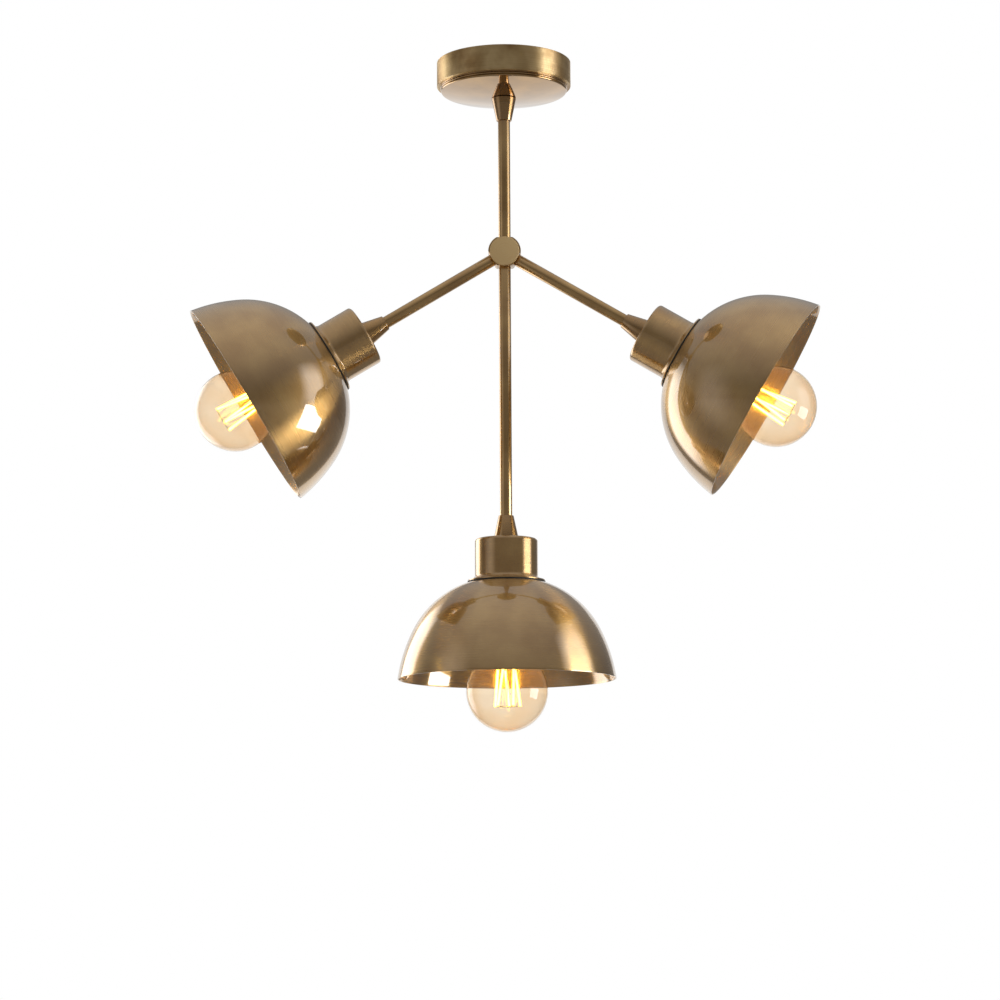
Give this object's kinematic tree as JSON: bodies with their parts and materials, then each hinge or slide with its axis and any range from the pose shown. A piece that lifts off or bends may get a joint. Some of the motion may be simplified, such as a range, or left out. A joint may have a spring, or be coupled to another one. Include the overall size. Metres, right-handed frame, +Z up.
{
  "type": "pendant light",
  "caption": "Ceiling pendant in antique brass with a drum canopy, slim stem, round hub, splayed arms and spun dome shades over globe bulbs.",
  "frame": {"origin": "centre of the two slots of the ceiling bracket, on the ceiling plane and on the stem's axis", "axes": "+Z up along the stem into the ceiling; the front, with the hub's lid, faces -Y; the left lamp lies at -X and the right lamp at +X"},
  "size_m": [0.6226, 0.2295, 0.6717],
  "materials": {
    "antique_brass": "antique brass, spun and turned, lacquered",
    "turned_brass": "pale turned brass, lacquered",
    "bare_brass": "bare bright brass",
    "zinc_steel": "zinc-plated steel",
    "gasket_rubber": "black, matte",
    "holder_plastic": "black, heat-resistant moulding",
    "block_plastic": "ivory moulding",
    "amber_glass": "amber-tinted clear glass",
    "clear_glass": "clear glass",
    "cap_metal": "nickel-coloured pressed metal",
    "filament": "phosphor-coated stick, lit",
    "flex_sheath": "black cable sheath"
  },
  "bodies": {
    "frame": {"ceiling_bracket": "zinc_steel", "bracket_nuts": "zinc_steel", "terminal_block": "block_plastic", "terminal_screws": "zinc_steel", "block_screw": "zinc_steel", "earth_screw": "bare_brass", "stem_nipple": "zinc_steel", "upper_stem": "antique_brass", "hub": "antique_brass", "hub_lid": "turned_brass", "hub_nipples": "zinc_steel", "lower_stem": "antique_brass", "left_arm": "antique_brass", "right_arm": "antique_brass", "lower_flex": "flex_sheath", "left_flex": "flex_sheath", "right_flex": "flex_sheath", "lower_ferrule": "antique_brass", "lower_cup": "antique_brass", "lower_gasket": "gasket_rubber", "lower_shade": "antique_brass", "lower_nipple": "zinc_steel", "lower_shade_nut": "zinc_steel", "lower_holder_cap": "holder_plastic", "lower_holder_body": "holder_plastic", "lower_holder_shell": "bare_brass", "left_ferrule": "antique_brass", "left_cup": "antique_brass", "left_gasket": "gasket_rubber", "left_shade": "antique_brass", "left_nipple": "zinc_steel", "left_shade_nut": "zinc_steel", "left_holder_cap": "holder_plastic", "left_holder_body": "holder_plastic", "left_holder_shell": "bare_brass", "right_ferrule": "antique_brass", "right_cup": "antique_brass", "right_gasket": "gasket_rubber", "right_shade": "antique_brass", "right_nipple": "zinc_steel", "right_shade_nut": "zinc_steel", "right_holder_cap": "holder_plastic", "right_holder_body": "holder_plastic", "right_holder_shell": "bare_brass"},
    "canopy": {"canopy": "antique_brass", "canopy_collar": "antique_brass", "collar_grub_screw": "zinc_steel"},
    "lower_bulb": {"lower_bulb_glass": "amber_glass", "lower_bulb_cap": "cap_metal", "lower_bulb_mount": "clear_glass", "lower_bulb_filaments": "filament"},
    "left_bulb": {"left_bulb_glass": "amber_glass", "left_bulb_cap": "cap_metal", "left_bulb_mount": "clear_glass", "left_bulb_filaments": "filament"},
    "right_bulb": {"right_bulb_glass": "amber_glass", "right_bulb_cap": "cap_metal", "right_bulb_mount": "clear_glass", "right_bulb_filaments": "filament"}
  },
  "joints": [
    {"name": "canopy_drop", "type": "slide", "parent": "frame", "child": "canopy", "axis": [0, 0, -1], "range_m": [0, 0.115]},
    {"name": "lower_bulb_out", "type": "slide", "parent": "frame", "child": "lower_bulb", "axis": [0, 0, -1], "range_m": [0, 0.024]},
    {"name": "left_bulb_out", "type": "slide", "parent": "frame", "child": "left_bulb", "axis": [-0.8556, -0.0523, -0.515], "range_m": [0, 0.024]},
    {"name": "right_bulb_out", "type": "slide", "parent": "frame", "child": "right_bulb", "axis": [0.8556, -0.0523, -0.515], "range_m": [0, 0.024]}
  ]
}
